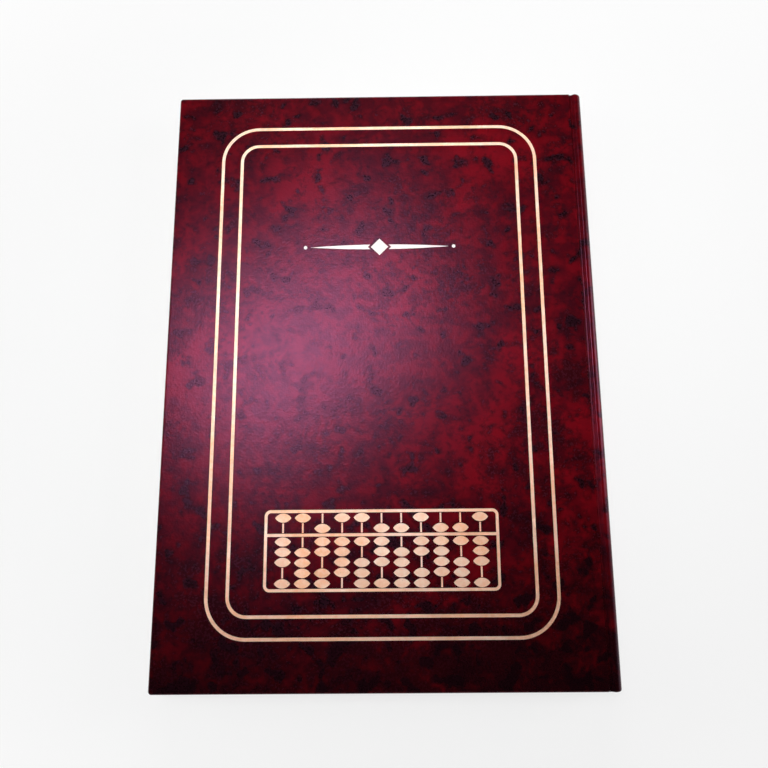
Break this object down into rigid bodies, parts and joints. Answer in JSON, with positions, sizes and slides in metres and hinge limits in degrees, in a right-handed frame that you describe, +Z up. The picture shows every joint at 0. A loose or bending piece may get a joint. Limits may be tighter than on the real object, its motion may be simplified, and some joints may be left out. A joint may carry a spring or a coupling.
{
  "type": "accounting journal",
  "caption": "Right-bound hardback accounting journal in marbled burgundy leatherette with gold foil frame rules; the front cover, hollow spine and front leaves open flat together.",
  "frame": {"origin": "middle of the underside of the closed journal, on the surface that it lies on", "axes": "+X from the fore edge to the spine, +Y from tail to head, +Z up out of the front cover"},
  "size_m": [0.2176, 0.304, 0.018],
  "materials": {
    "leatherette": "fine-grained marbled burgundy leatherette",
    "greyboard": "dense grey bookbinding board",
    "endpaper": "heavy uncoated cream endpaper",
    "paper": "uncoated writing paper ruled for accounts",
    "thread": "waxed linen sewing thread",
    "mull": "open-weave starched cotton",
    "kraft": "brown kraft paper",
    "band": "woven striped band",
    "foil_gold": "hot-stamped gold foil",
    "foil_pale": "hot-stamped pale foil"
  },
  "bodies": {
    "back_half": {"back_leatherette": "leatherette", "back_board": "greyboard", "back_joint": "leatherette", "back_pastedown": "endpaper", "back_flyleaf": "endpaper", "section_01": "paper", "section_02": "paper", "section_03": "paper", "section_04": "paper", "section_05": "paper", "section_06": "paper", "back_sewing": "thread", "back_mull": "mull", "back_liner": "kraft", "back_bands": "band"},
    "front_leaves": {"section_12": "paper", "front_flyleaf": "endpaper", "front_sewing": "thread", "front_mull": "mull", "front_liner": "kraft", "front_bands": "band"},
    "spine": {"spine_board": "greyboard", "spine_leatherette": "leatherette"},
    "front_cover": {"front_leatherette": "leatherette", "front_board": "greyboard", "front_joint": "leatherette", "front_pastedown": "endpaper", "front_mull_flap": "mull", "foil_outer_rule": "foil_gold", "foil_inner_rule": "foil_gold", "foil_ornament": "foil_pale", "foil_abacus_frame": "foil_gold", "foil_abacus_rods": "foil_gold", "foil_abacus_beads": "foil_gold"},
    "section_07": {"section_07": "paper"},
    "section_08": {"section_08": "paper"},
    "section_09": {"section_09": "paper"},
    "section_10": {"section_10": "paper"},
    "section_11": {"section_11": "paper"}
  },
  "joints": [
    {"name": "front_leaves_turn", "type": "hinge", "parent": "back_half", "child": "front_leaves", "pos_m": [0.10555, 0, 0.009], "axis": [0, 1, 0], "range_deg": [0, 180]},
    {"name": "spine_swing", "type": "hinge", "parent": "back_half", "child": "spine", "pos_m": [0.10565, 0, 0.0031], "axis": [0, 1, 0], "range_deg": [0, 90], "deforming": ["back_joint"]},
    {"name": "front_cover_hinge", "type": "hinge", "parent": "spine", "child": "front_cover", "pos_m": [0.10565, 0, 0.0149], "axis": [0, 1, 0], "range_deg": [0, 90], "deforming": ["front_joint"]},
    {"name": "section_11_turn", "type": "hinge", "parent": "back_half", "child": "section_11", "pos_m": [0.10555, 0, 0.009], "axis": [0, 1, 0], "range_deg": [0, 179.46]},
    {"name": "section_10_turn", "type": "hinge", "parent": "back_half", "child": "section_10", "pos_m": [0.10555, 0, 0.009], "axis": [0, 1, 0], "range_deg": [0, 178.92]},
    {"name": "section_09_turn", "type": "hinge", "parent": "back_half", "child": "section_09", "pos_m": [0.10555, 0, 0.009], "axis": [0, 1, 0], "range_deg": [0, 178.38]},
    {"name": "section_08_turn", "type": "hinge", "parent": "back_half", "child": "section_08", "pos_m": [0.10555, 0, 0.009], "axis": [0, 1, 0], "range_deg": [0, 177.84]},
    {"name": "section_07_turn", "type": "hinge", "parent": "back_half", "child": "section_07", "pos_m": [0.10555, 0, 0.009], "axis": [0, 1, 0], "range_deg": [0, 177.3]}
  ],
  "couplings": [
    {"joint": "spine_swing", "follows": "front_leaves_turn", "ratio": 0.5},
    {"joint": "front_cover_hinge", "follows": "front_leaves_turn", "ratio": 0.5},
    {"joint": "section_11_turn", "follows": "front_leaves_turn", "ratio": 0.997},
    {"joint": "section_10_turn", "follows": "front_leaves_turn", "ratio": 0.994},
    {"joint": "section_09_turn", "follows": "front_leaves_turn", "ratio": 0.991},
    {"joint": "section_08_turn", "follows": "front_leaves_turn", "ratio": 0.988},
    {"joint": "section_07_turn", "follows": "front_leaves_turn", "ratio": 0.985}
  ]
}
